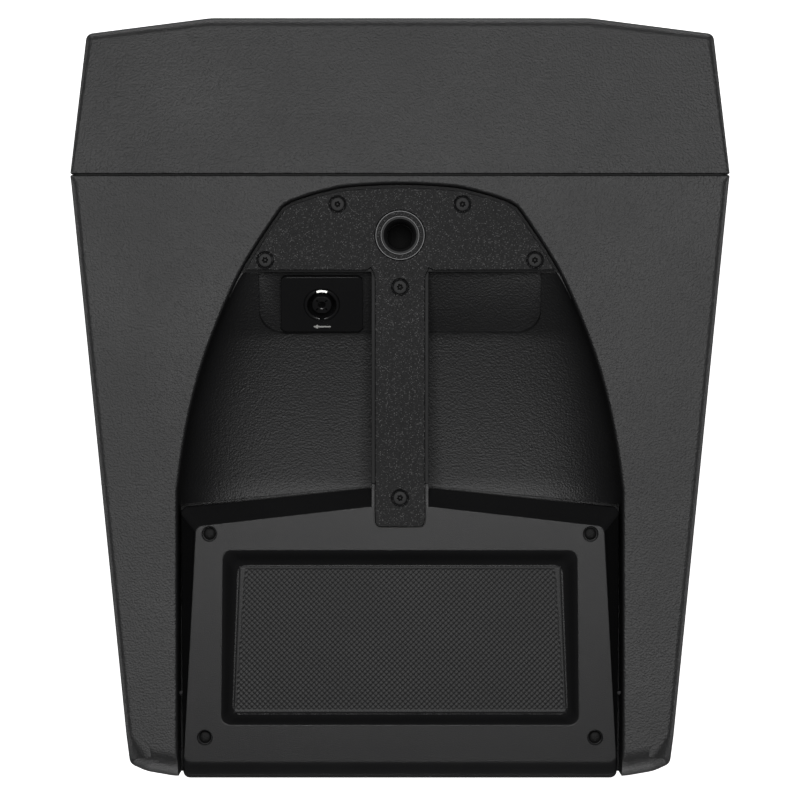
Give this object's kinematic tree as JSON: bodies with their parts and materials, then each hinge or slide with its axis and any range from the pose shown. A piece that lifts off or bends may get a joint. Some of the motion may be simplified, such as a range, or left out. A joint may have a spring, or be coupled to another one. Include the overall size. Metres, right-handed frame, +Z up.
{
  "type": "pa speaker cabinet",
  "caption": "Moulded bass cabinet with an arched hand recess, steel handle and pole plate, rear tray cover, front grille, woofer, reflex ports and powered rear panel.",
  "frame": {"origin": "middle of the cabinet's footprint, on the floor under the feet", "axes": "+Z up, -Y out of the front grille, +X along the width towards the output socket's side"},
  "size_m": [0.4398, 0.5086, 0.62],
  "materials": {
    "textured_plastic": "moulded pebble texture",
    "satin_plastic": "fine satin",
    "grip_plastic": "fine satin",
    "powder_coat": "speckled powder coat",
    "grille_coat": "powder coat",
    "foam": "open foam",
    "rubber": "matte",
    "dark_steel": "blackened",
    "socket_steel": "blackened, bright on its edges",
    "connector_plastic": "semi gloss",
    "bright_steel": "nickel plated",
    "basket_paint": "satin",
    "cone_paper": "treated pulp",
    "copper": "enamelled wire",
    "spider_cloth": "varnished weave",
    "zinc": "zinc plated",
    "ferrite": "ground",
    "port_plastic": "fine satin",
    "panel_paint": "satin",
    "heatsink_alloy": "black anodised",
    "circuit_board": "solder mask",
    "capacitor_sleeve": "shrink sleeve",
    "knob_plastic": "fine satin",
    "green_lens": "clear tinted",
    "red_lens": "clear tinted"
  },
  "bodies": {
    "cabinet": {"rear_shell": "textured_plastic", "front_shell": "textured_plastic", "shell_gasket": "rubber", "grille": "grille_coat", "grille_foam": "foam", "handle_plate": "powder_coat", "handle_grip": "grip_plastic", "pole_socket": "socket_steel", "top_cover": "satin_plastic", "cover_mat": "rubber", "output_plate": "satin_plastic", "output_socket": "connector_plastic", "output_latch": "bright_steel", "woofer_basket": "basket_paint", "woofer_surround": "rubber", "spider": "spider_cloth", "top_plate": "zinc", "magnet": "ferrite", "back_plate": "zinc", "port_tube_left": "port_plastic", "port_tube_right": "port_plastic", "amp_panel": "panel_paint", "heatsink": "heatsink_alloy", "input_socket": "connector_plastic", "link_socket": "connector_plastic", "level_pot": "bright_steel", "status_light_1": "green_lens", "status_light_2": "red_lens", "power_inlet": "connector_plastic", "power_switch_frame": "connector_plastic", "amp_board": "circuit_board", "transformer": "copper", "capacitor_1": "capacitor_sleeve", "capacitor_2": "capacitor_sleeve", "plate_screw_1": "dark_steel", "plate_screw_2": "dark_steel", "plate_screw_3": "dark_steel", "plate_screw_4": "dark_steel", "plate_screw_5": "dark_steel", "plate_screw_6": "dark_steel", "cover_screw_1": "dark_steel", "cover_screw_2": "dark_steel", "cover_screw_3": "dark_steel", "cover_screw_4": "dark_steel", "foot_1": "rubber", "foot_2": "rubber", "foot_3": "rubber", "foot_4": "rubber"},
    "cone_assembly": {"woofer_cone": "cone_paper", "dust_cap": "cone_paper", "voice_coil": "copper"},
    "level_knob_body": {"level_knob": "knob_plastic"},
    "rocker_body": {"power_rocker": "connector_plastic"},
    "release_body": {"input_release": "bright_steel"},
    "boost_body": {"boost_button": "connector_plastic"},
    "voice_body": {"voice_button": "connector_plastic"},
    "fuse_body": {"fuse_drawer": "connector_plastic"}
  },
  "joints": [
    {"name": "cone_stroke", "type": "slide", "parent": "cabinet", "child": "cone_assembly", "axis": [0, 1, 0], "range_m": [-0.008, 0.008], "stiffness_N_per_m": 3000, "deforming": ["woofer_surround", "spider"]},
    {"name": "level_knob_turn", "type": "hinge", "parent": "cabinet", "child": "level_knob_body", "pos_m": [0.008, 0.23865, 0.488], "axis": [0, 1, 0], "range_deg": [-150, 150]},
    {"name": "power_rocker_tilt", "type": "hinge", "parent": "cabinet", "child": "rocker_body", "pos_m": [-0.086, 0.2355, 0.48], "axis": [1, 0, 0], "range_deg": [-16, 0]},
    {"name": "input_release_press", "type": "slide", "parent": "cabinet", "child": "release_body", "axis": [0, -1, 0], "range_m": [0, 0.0015], "stiffness_N_per_m": 400},
    {"name": "boost_button_press", "type": "slide", "parent": "cabinet", "child": "boost_body", "axis": [0, -1, 0], "range_m": [0, 0.003], "stiffness_N_per_m": 300},
    {"name": "voice_button_press", "type": "slide", "parent": "cabinet", "child": "voice_body", "axis": [0, -1, 0], "range_m": [0, 0.003], "stiffness_N_per_m": 300},
    {"name": "fuse_drawer_pull", "type": "slide", "parent": "cabinet", "child": "fuse_body", "axis": [0, 1, 0], "range_m": [0, 0.013]}
  ]
}
